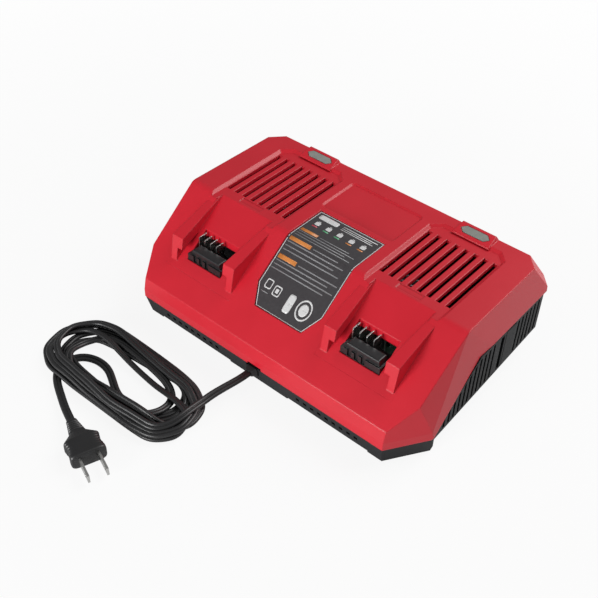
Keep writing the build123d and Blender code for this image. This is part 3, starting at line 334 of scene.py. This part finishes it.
# The plug in millimetres: where its neck, shoulder, body and face begin along it, half its
# width and height there, and how square its sections are.
HEADING = np.array([16.6, -6.0, 0]) / math.hypot(16.6, 6.0)
PLUG_ROOT = np.array([-62.0, -199.45, PLUG_Z]) - HEADING
STATIONS = [0, 13, 20, 34.2, 35]
HALF_WIDTHS = [3.6, 6.0, 12.0, 12.0, 11.2]
HALF_HEIGHTS = [2.3, 4.0, 6.5, 6.5, 5.8]
along_plug = np.linspace(0, STATIONS[-1], 211)
half_wide = soften(np.interp(along_plug, STATIONS, HALF_WIDTHS)[:, None], 5)[:, 0]
half_high = soften(np.interp(along_plug, STATIONS, HALF_HEIGHTS)[:, None], 5)[:, 0]
power = np.interp(along_plug, [0, 13, 20, 35], [2.3, 3.0, 4.6, 5.0])
neck_rings = waves(along_plug, 2.0, 11.5, 5, 0.55)
grip = waves(along_plug, 20.5, 32.0, 1, 0.9) + waves(along_plug, 21.0, 31.5, 5, 0.45)
plug_grid = moulded_body(PLUG_ROOT, HEADING, along_plug,
                         half_wide - neck_rings - grip, half_high - neck_rings, power)
moulded_plug = put("moulded_plug", patches_mesh("moulded_plug", [plug_grid], closed=True, caps=True))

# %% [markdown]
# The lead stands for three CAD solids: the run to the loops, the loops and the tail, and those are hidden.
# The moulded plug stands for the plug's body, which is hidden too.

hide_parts("power_lead", "cord_hank", "power_tail")
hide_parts("plug_body")

# %% [markdown]
# ## Finishes in a few words
#
# A finish is arithmetic on positions: a speckle, a line, a stripe. `Signal` wraps a socket
# so that `0.3 + 0.1 * speckle` adds the Math nodes by itself, and `Nodes.add` makes any
# other node from its type, its settings and its inputs.


# %% Shader arithmetic
class Signal:
    """A socket to reckon with: each operator adds one Math node."""

    def __init__(self, nodes, socket):
        self.nodes, self.socket = nodes, socket

    def math(self, operation, first, second=0.0):
        return self.nodes.add("ShaderNodeMath", {"operation": operation}, {0: first, 1: second})

    def __add__(self, other):
        return self.math("ADD", self, other)

    def __sub__(self, other):
        return self.math("SUBTRACT", self, other)

    def __mul__(self, other):
        return self.math("MULTIPLY", self, other)

    def __lt__(self, other):
        return self.math("LESS_THAN", self, other)

    def __gt__(self, other):
        return self.math("GREATER_THAN", self, other)

    def __abs__(self):
        return self.math("ABSOLUTE", self)

    __radd__, __rmul__ = __add__, __mul__


class Nodes:
    """A node tree that one method adds to: a type, its settings, then its sockets' values or links."""

    def __init__(self, tree):
        self.tree = tree

    def add(self, kind, settings=None, inputs=None, out=0):
        node = self.tree.nodes.new(kind)
        for key, value in (settings or {}).items():
            setattr(node, key, value)
        for key, value in (inputs or {}).items():
            self.join(node.inputs[key], value)
        return Signal(self, node.outputs[out])

    def join(self, socket, value):
        if isinstance(value, Signal):
            self.tree.links.new(value.socket, socket)
        else:
            socket.default_value = value

    def seen_white(self, mirrored):
        """1 for what the camera sees straight on, and a share of 1 for what it sees mirrored."""
        straight = self.add("ShaderNodeLightPath", out="Is Camera Ray")
        return straight + Signal(self, straight.socket.node.outputs["Is Glossy Ray"]) * mirrored


class Finish(Nodes):
    """A material with one Principled shader; fixed numbers are set on its own sockets."""

    def __init__(self, name, **fixed):
        self.material = bpy.data.materials.new(name)
        self.material.use_nodes = True
        super().__init__(self.material.node_tree)
        self.shader = self.tree.nodes["Principled BSDF"]
        for socket, value in fixed.items():
            self.feed(socket.replace("_", " "), value)

    def feed(self, name, value):
        self.join(self.shader.inputs[name], value)

    def place(self):
        """Position on the object, in metres."""
        return self.add("ShaderNodeTexCoord", out="Object")

    def axes(self):
        """The position's three numbers."""
        split = self.add("ShaderNodeSeparateXYZ", inputs={0: self.place()}).socket.node
        return [Signal(self, split.outputs[i]) for i in range(3)]

    def speckle(self, scale, detail=2.0, stretch=(1, 1, 1)):
        """Smooth noise from 0 to 1, with this many lumps to the metre, stretched along axes."""
        spot = self.add("ShaderNodeMapping", inputs={"Vector": self.place(), "Scale": stretch})
        return self.add("ShaderNodeTexNoise", inputs={"Vector": spot, "Scale": scale, "Detail": detail})

    def blend(self, mask, low, high):
        """One colour where the mask is 0 and the other where it is 1."""
        return self.add("ShaderNodeMix", {"data_type": "RGBA"}, {0: mask, 6: low, 7: high}, out=2)

    def relief(self, height, distance, rounded=None):
        """Feed the normal with bumps of a real height, on edges that look rounded off."""
        inputs = {"Height": height, "Distance": distance, "Strength": 1.0}
        if rounded:
            inputs["Normal"] = self.add("ShaderNodeBevel", {"samples": 6}, {"Radius": rounded})
        self.feed("Normal", self.add("ShaderNodeBump", inputs=inputs))


def wear(finish, *names):
    """Give a finish to CAD nodes by name, or to pieces."""
    for name in names:
        piece = bpy.data.objects[name] if isinstance(name, str) else name
        piece.data.materials.clear()
        piece.data.materials.append(finish.material)
    print(finish.material.name, "on", len(names))


# %% [markdown]
# ## Moulded shells
#
# Both shells are injection-moulded plastic with a spark-eroded skin: under a finger it
# feels like fine paper. A fine speckle gives that skin its height and breaks up the gloss,
# and a slow, faint one keeps large faces from looking painted. Real moulds also leave a
# thin line where an insert meets the tool: here it runs in front of each battery bay and
# a little way back along both its sides.

# %% Red shell
BAY_X, BAY_HALF = 0.0709, 0.0318
LINE_Y, LINE_END_Y, LINE_HALF = -0.07225, -0.0655, 0.00016
red = Finish("red_shell", Specular_IOR_Level=0.42)
cloud = red.speckle(26, 3)
grain = red.speckle(2600, 3)
x, y = red.axes()[:2]
red.feed("Base Color", red.blend(cloud, (0.46, 0.008, 0.018, 1), (0.55, 0.012, 0.026, 1)))
red.feed("Roughness", 0.30 + 0.10 * grain + 0.06 * cloud)
from_bay = abs(abs(x) - BAY_X)
insert = (abs(y - LINE_Y) < LINE_HALF) * (from_bay < BAY_HALF)
insert = insert + (abs(from_bay - BAY_HALF) < LINE_HALF) * (y > LINE_Y) * (y < LINE_END_Y)
red.relief(grain * 0.45 - insert * 1.5, 0.00006, rounded=0.0011)
wear(red, "upper_housing")

# %% Black shell
black = Finish("black_shell", Specular_IOR_Level=0.14)
grain = black.speckle(2300, 3)
cloud = black.speckle(30, 3)
black.feed("Base Color", black.blend(cloud, (0.007, 0.0075, 0.0085, 1), (0.013, 0.0135, 0.015, 1)))
black.feed("Roughness", 0.42 + 0.14 * grain)
black.relief(grain, 0.00005, rounded=0.0006)
wear(black, "lower_housing")

# %% [markdown]
# ## Small mouldings
#
# The terminal blocks are a glass-filled nylon, darker and a little shinier than the base.
# The indicator lenses are a smoky grey-green with a faint, uneven haze.

# %% Blocks and lenses
nylon = Finish("terminal_nylon", Specular_IOR_Level=0.5)
fibre = nylon.speckle(900, 4, stretch=(1, 1, 5))
nylon.feed("Base Color", nylon.blend(fibre, (0.004, 0.0045, 0.005, 1), (0.011, 0.0115, 0.013, 1)))
nylon.feed("Roughness", 0.30 + 0.18 * fibre)
nylon.relief(fibre, 0.00003, rounded=0.0004)
wear(nylon, "terminal_block_left", "terminal_block_right", "fan_frame", "fan_rotor", "power_transistors")

smoke = Finish("smoky_lens", IOR=1.5, Coat_Weight=0.4)
haze = smoke.speckle(240, 3)
smoke.feed("Base Color", smoke.blend(haze, (0.16, 0.17, 0.155, 1), (0.25, 0.255, 0.235, 1)))
smoke.feed("Roughness", 0.16 + 0.16 * haze)
smoke.relief(haze, 0.00004, rounded=0.0005)
wear(smoke, "indicator_lens_left", "indicator_lens_right")

# %% [markdown]
# ## Metal
#
# Tinned blades are pressed from strip, so their polish runs along the strip; screws are
# zinc plated and mottled; the heat sinks are drawn aluminium with lines down the fins.


# %% Metals
def metal(name, dark, light, rough, scale, stretch):
    """A metal whose colour and polish follow one stretched speckle."""
    finish = Finish(name, Metallic=1.0)
    lines = finish.speckle(scale, 4, stretch)
    finish.feed("Base Color", finish.blend(lines, dark, light))
    finish.feed("Roughness", rough + 0.18 * lines)
    finish.relief(lines, 0.00002, rounded=0.0002)
    return finish


tin = metal("tinned_strip", (0.42, 0.42, 0.41, 1), (0.66, 0.66, 0.64, 1), 0.20, 1800, (1, 0.12, 1))
wear(tin, "contact_blades_left", "contact_blades_right", "plug_blades", "fuse")
zinc = metal("zinc_plate", (0.42, 0.43, 0.45, 1), (0.66, 0.67, 0.68, 1), 0.28, 900, (1, 1, 1))
wear(zinc, "housing_screws", "board_screws")
drawn = metal("drawn_aluminium", (0.58, 0.58, 0.59, 1), (0.80, 0.80, 0.81, 1), 0.30, 1500, (1, 1, 0.05))
wear(drawn, "heat_sink_left", "heat_sink_right")

# %% [markdown]
# ## Under the louvres
#
# The electronics show only as glints through the slots, but each has its own look: a
# green board, a taped winding, a coil of lacquered wire, and cans with bare metal tops in
# a dark sleeve.


# %% Electronics
def moulded(name, low, high, rough, scale):
    """A non-metal with one speckle for colour, gloss and relief."""
    finish = Finish(name)
    grain = finish.speckle(scale, 3)
    finish.feed("Base Color", finish.blend(grain, low, high))
    finish.feed("Roughness", rough + 0.15 * grain)
    finish.relief(grain, 0.00005)
    return finish


wear(moulded("solder_mask", (0.004, 0.028, 0.012, 1), (0.010, 0.055, 0.025, 1), 0.4, 260),
     "main_circuit_board", "indicator_board_left", "indicator_board_right")
wear(moulded("ferrite", (0.03, 0.03, 0.032, 1), (0.07, 0.07, 0.075, 1), 0.6, 1200), "transformer_core")
wear(moulded("winding_tape", (0.55, 0.38, 0.05, 1), (0.72, 0.52, 0.09, 1), 0.25, 160), "transformer_winding")
wear(moulded("white_socket", (0.68, 0.68, 0.64, 1), (0.80, 0.80, 0.77, 1), 0.35, 500), "mains_socket")
wear(moulded("clear_lamp", (0.30, 0.55, 0.34, 1), (0.42, 0.66, 0.44, 1), 0.12, 300), "indicator_lamps")

CAN_TOP_Z = 0.0425
sleeve = Finish("capacitor_sleeve", Specular_IOR_Level=0.6)
bare_top = sleeve.axes()[2] > CAN_TOP_Z
sleeve.feed("Base Color", sleeve.blend(bare_top, (0.02, 0.025, 0.07, 1), (0.62, 0.62, 0.64, 1)))
sleeve.feed("Metallic", bare_top)
sleeve.feed("Roughness", 0.22 + 0.12 * sleeve.speckle(800))
wear(sleeve, "bulk_capacitors")

wire = Finish("lacquered_wire", Metallic=1.0, Coat_Weight=0.6)
strands = wire.speckle(1100, 2, stretch=(1, 1, 0.1))
wire.feed("Base Color", wire.blend(strands, (0.42, 0.16, 0.06, 1), (0.74, 0.34, 0.15, 1)))
wire.feed("Roughness", 0.22 + 0.20 * strands)
wire.relief(strands, 0.0003)
wear(wire, "filter_choke")

# %% [markdown]
# ## Rubber and jacket
#
# The lead's jacket is soft black vinyl with a low sheen. Dust and finger marks make slow
# patches of gloss on it, and a very fine grain keeps it from looking like glass.

# %% Black vinyl and rubber
vinyl = Finish("black_vinyl", Specular_IOR_Level=0.65)
patch = vinyl.speckle(70, 4)
fine = vinyl.speckle(1700, 3)
vinyl.feed("Base Color", vinyl.blend(patch, (0.002, 0.002, 0.0025, 1), (0.005, 0.005, 0.006, 1)))
vinyl.feed("Roughness", 0.40 + 0.12 * patch + 0.02 * fine)
vinyl.relief(fine, 0.000002)
wear(vinyl, mains_lead, moulded_plug, "strain_relief", "mains_wires", "plug_body", "power_lead", "cord_hank",
     "power_tail")
wear(moulded("foot_rubber", (0.014, 0.014, 0.014, 1), (0.03, 0.03, 0.03, 1), 0.7, 1400), "rubber_feet")

# %% [markdown]
# ## The label
#
# The label is a charcoal film that bends with the shell from the deck to the slope. Its
# print is made as thin film pieces, each a grid of points on the label's own surface, so
# that it stays sharp at any distance. The layout is a plain one: a title strip, a row of
# battery signs with coloured marks, three orange bars with rules, and shapes at the foot.


# %% Label surface
# In millimetres, as the CAD source measures y; SHIFT_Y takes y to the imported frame. The
# deck is level back to front as far as the fold, and slopes from there to the front wall.
# The label lies DEPTH below both and bends with a radius of BEND.
LABEL_X, SHIFT_Y = 1.3, -8.85
LIFT, FILM, NUDGE = 0.07, 0.06, 0.05
DECK_Z, FOLD_Y = 81.5, -14.0
SLOPE_END_Z, SLOPE_END_Y = 32.6, -78.0
SLOPE = math.atan2(DECK_Z - SLOPE_END_Z, FOLD_Y - SLOPE_END_Y)
DEPTH, BEND = 0.9, 8.1
KNEE_Y = FOLD_Y + (DEPTH / math.cos(SLOPE) - DEPTH) / math.tan(SLOPE)
TANGENT = BEND * math.tan(SLOPE / 2)


def label_height(y):
    """Level deck, then an arc of the label's bend, then the straight slope; y before the shift."""
    deck = np.full_like(y, DECK_Z - DEPTH)
    slope = DECK_Z + (y - FOLD_Y) * math.tan(SLOPE) - DEPTH / math.cos(SLOPE)
    drop = np.minimum(y - KNEE_Y - TANGENT, 0)
    arc = DECK_Z - DEPTH - BEND + np.sqrt(np.maximum(BEND ** 2 - drop ** 2, 0))
    return np.where(y > KNEE_Y + TANGENT, deck, np.where(y > KNEE_Y - TANGENT * math.cos(SLOPE), arc, slope))


def on_label(x, y):
    """Points on the label's own surface, lifted off it along its normal so that a film fits under."""
    lean = (label_height(y + NUDGE) - label_height(y - NUDGE)) / (2 * NUDGE)
    size = np.sqrt(1 + lean ** 2)
    points = (LABEL_X + x, y - LIFT * lean / size + SHIFT_Y, label_height(y) + LIFT / size)
    return np.stack(points, axis=-1) * MM


# %% [markdown]
# Four shapes are enough for the whole print: a bar, a rounded plate, a hoop, and the
# border that follows the label's six corners. All of them are in millimetres.

# %% Print shapes
LABEL_HALF, LABEL_TOP, LABEL_LOW = 28.8, 21.8, -45.0
FOOT_HALF, FOOT_Y = 20.8, -57.6


def bar(x0, x1, y0, y1, rows=7):
    """A plain rectangle as a grid, with rows enough to follow the bend."""
    x, y = np.meshgrid(np.linspace(x0, x1, 3), np.linspace(y0, y1, rows))
    return on_label(x, y)


def plate(cx, cy, half_x, half_y, power):
    """A superellipse filled from its middle: |x/a|^p + |y/b|^p = share of the way out."""
    r, a = np.meshgrid(np.linspace(0.02, 1, 5), np.linspace(0, -2 * math.pi, 33), indexing="ij")
    c, s = np.cos(a), np.sin(a)
    grow = r * (np.abs(c) ** power + np.abs(s) ** power) ** (-1 / power)
    return on_label(cx + half_x * grow * c, cy + half_y * grow * s)


def hoop(cx, cy, half_x, half_y, line_width, power):
    """The rim of a superellipse, as wide as a printed line."""
    r, a = np.meshgrid(np.linspace(0, 1, 2), np.linspace(0, 2 * math.pi, 41), indexing="ij")
    c, s = np.cos(a), np.sin(a)
    grow = (np.abs(c) ** power + np.abs(s) ** power) ** (-1 / power)
    return on_label(cx + (half_x - line_width * r) * grow * c, cy + (half_y - line_width * r) * grow * s)


def border(inset, line_width):
    """A line round the label's six corners, set in from its edge."""
    right_side = [(LABEL_HALF, LABEL_TOP), (LABEL_HALF, LABEL_LOW), (FOOT_HALF, FOOT_Y)]
    corners = np.array(right_side + [(-x, y) for x, y in right_side[::-1]])
    rims = []
    for depth in (inset + line_width, inset):
        after = np.roll(corners, -1, axis=0)
        way = (after - corners) / np.linalg.norm(after - corners, axis=1)[:, None]
        normal = np.stack([way[:, 1], -way[:, 0]], axis=1)
        before_normal, before_way = np.roll(normal, 1, axis=0), np.roll(way, 1, axis=0)
        cross = before_way[:, 0] * way[:, 1] - before_way[:, 1] * way[:, 0]
        gap = depth * (normal - before_normal)
        along = (gap[:, 0] * way[:, 1] - gap[:, 1] * way[:, 0]) / cross
        moved = corners + depth * before_normal + along[:, None] * before_way
        share = np.linspace(0, 1, 30, endpoint=False)[None, :, None]
        edge = moved[:, None] + share * (np.roll(moved, -1, axis=0) - moved)[:, None]
        rims.append(np.concatenate([edge.reshape(-1, 2), moved[:1]]))
    both = np.stack(rims)
    return on_label(both[..., 0], both[..., 1])


# %% Print layout
SIGN_Y, MARK_LOW, MARK_TOP = 8.6, 4.4, 5.4
TEXT_LEFT, TEXT_RIGHT = -26.6, 25.6
BAR_HIGH, RULE_HIGH, RULE_PITCH, RULES = 2.6, 0.65, 2.5, 4


def battery(cx, cy):
    """A battery sign: a body and a terminal."""
    return [plate(cx, cy, 2.1, 1.9, 6), bar(cx - 0.9, cx + 0.9, cy + 2.2, cy + 2.9, 3)]


pale = [border(0.5, 0.55), bar(-5, 25, 17.8, 18.5), bar(-5, 21, 15.9, 16.5), bar(-5, 23, 14.2, 14.8),
        plate(-17, 16.6, 8.5, 2.4, 8)]
green, warm, amber, grey = [], [], [], []
signs = ((-21, warm, 2.4), (-11, green, 2.4), (-1, green, 2.4), (9.5, amber, 2.5), (19.5, amber, 2.5))
for sign_x, marks, half in signs:
    pale += battery(sign_x, SIGN_Y)
    marks.append(bar(sign_x - half, sign_x + half, MARK_LOW, MARK_TOP))
pale += [hoop(-20.5, -43.2, 2.9, 2.9, 0.7, 6), hoop(-12, -44.6, 3.1, 3.1, 0.7, 6),
         plate(-12, -44.6, 1.3, 1.3, 6), plate(1.4, -47.2, 2.9, 5.6, 5),
         hoop(13.6, -46.4, 6.2, 6.2, 1.0, 2), plate(13.6, -46.4, 3.6, 3.6, 2)]

# Each orange bar heads its own rules; the first rule starts beside it, and the rules end
# at ragged places, like lines of words.
for top, wide in ((-1.6, 15), (-13.4, 19), (-25.4, 16)):
    amber.append(bar(TEXT_LEFT, TEXT_LEFT + wide, top - BAR_HIGH, top))
    for rule in range(RULES):
        rule_y = top - 1.0 - RULE_PITCH * rule
        start = TEXT_LEFT + wide + 2.0 if rule == 0 else TEXT_LEFT
        end = TEXT_RIGHT - 3.1 * ((rule * 2 + wide) % 4)
        grey.append(bar(start, end, rule_y - RULE_HIGH, rule_y))
grey.append(bar(-23.6, -17.4, -48.6, -48.1))
print("print pieces", len(pale) + len(green) + len(warm) + len(amber) + len(grey))


# %% Print inks
def ink(name, colour):
    """A screen-printed ink, faintly uneven."""
    finish = Finish(name)
    thin = finish.speckle(1500, 3)
    worn = tuple(0.82 * c for c in colour)
    finish.feed("Base Color", finish.blend(thin, (*worn, 1), (*colour, 1)))
    finish.feed("Roughness", 0.34 + 0.16 * thin)
    finish.relief(thin, 0.00001)
    return finish


for name, shapes, colour in (
    ("label_print_pale", pale, (0.62, 0.62, 0.62)), ("label_print_green", green, (0.10, 0.42, 0.20)),
    ("label_print_red", warm, (0.55, 0.05, 0.08)), ("label_print_amber", amber, (0.62, 0.22, 0.05)),
    ("label_print_grey", grey, (0.24, 0.24, 0.25)),
):
    printed = put(name, patches_mesh(name, shapes))
    film = printed.modifiers.new("film", "SOLIDIFY")
    film.thickness, film.offset = FILM * MM, -1
    wear(ink(name + "_ink", colour), printed)

charcoal = Finish("charcoal_film", Specular_IOR_Level=0.5)
mottle = charcoal.speckle(500, 3)
charcoal.feed("Base Color", charcoal.blend(mottle, (0.028, 0.025, 0.028, 1), (0.044, 0.040, 0.043, 1)))
charcoal.feed("Roughness", 0.36 + 0.14 * mottle)
charcoal.relief(mottle, 0.00001)
wear(charcoal, "display_label")

# %% [markdown]
# ## Floor and light
#
# A pale sweep and large soft lamps show the form without hard shadows. The lamp low in
# front makes the upright faces there lighter than the deck and lets the right flank fall
# away. The one high behind rims the back edges. Seen straight by the camera, the floor is
# mostly white by itself, and the rest of it still takes the charger's shadow.

# %% Floor
FLOOR_HALF = 3
u, v = np.meshgrid(np.linspace(-FLOOR_HALF, FLOOR_HALF, 3), np.linspace(-FLOOR_HALF, FLOOR_HALF, 3))
floor = bpy.data.objects.new("floor", patches_mesh("floor", [np.stack([u, v, 0 * u], axis=-1)]))
bpy.context.scene.collection.objects.link(floor)
sweep = Finish("pale_floor", Roughness=0.9, Specular_IOR_Level=0.1)
sweep.feed("Base Color", sweep.blend(sweep.speckle(4), (0.62, 0.62, 0.62, 1), (0.66, 0.66, 0.66, 1)))
glow = sweep.add("ShaderNodeEmission", inputs={"Color": (1, 1, 1, 1), "Strength": 1.0})
surface = Signal(sweep, sweep.shader.outputs[0])
distance = sweep.add("ShaderNodeVectorMath", {"operation": "LENGTH"}, {0: sweep.place()}, out=1)
far = sweep.add("ShaderNodeMapRange", inputs={0: distance, 1: 0.25, 2: 0.8, 3: 0.90, 4: 1.0})
mixed = sweep.add("ShaderNodeMixShader", inputs={0: sweep.seen_white(0.35) * far, 1: surface, 2: glow})
sweep.join(sweep.tree.nodes["Material Output"].inputs["Surface"], mixed)
floor.data.materials.append(sweep.material)


# %% Lamps and sky
def lamp(name, place, aim, size, watts):
    """A square soft lamp at a place, facing a point."""
    light = bpy.data.lights.new(name, "AREA")
    light.size, light.energy = size, watts
    holder = bpy.data.objects.new(name, light)
    holder.location = place
    holder.rotation_euler = (Vector(aim) - Vector(place)).to_track_quat("-Z", "Y").to_euler()
    bpy.context.scene.collection.objects.link(holder)


lamp("front", (-0.12, -1.29, 0.26), (0, 0, 0.03), 0.5, 18)
lamp("behind", (0.46, 0.82, 1.0), (0, 0, 0.04), 0.9, 17)

sky = bpy.data.worlds.new("sky")
sky.use_nodes = True
paint = Nodes(sky.node_tree)
dim = paint.add("ShaderNodeBackground", inputs={"Color": (0.24, 0.24, 0.24, 1)})
white = paint.add("ShaderNodeBackground", inputs={"Color": (1, 1, 1, 1)})
shown = paint.add("ShaderNodeMixShader", inputs={0: paint.seen_white(0.08), 1: dim, 2: white})
paint.join(paint.tree.nodes["World Output"].inputs["Surface"], shown)
bpy.context.scene.world = sky
bpy.context.scene.view_settings.view_transform = "Standard"
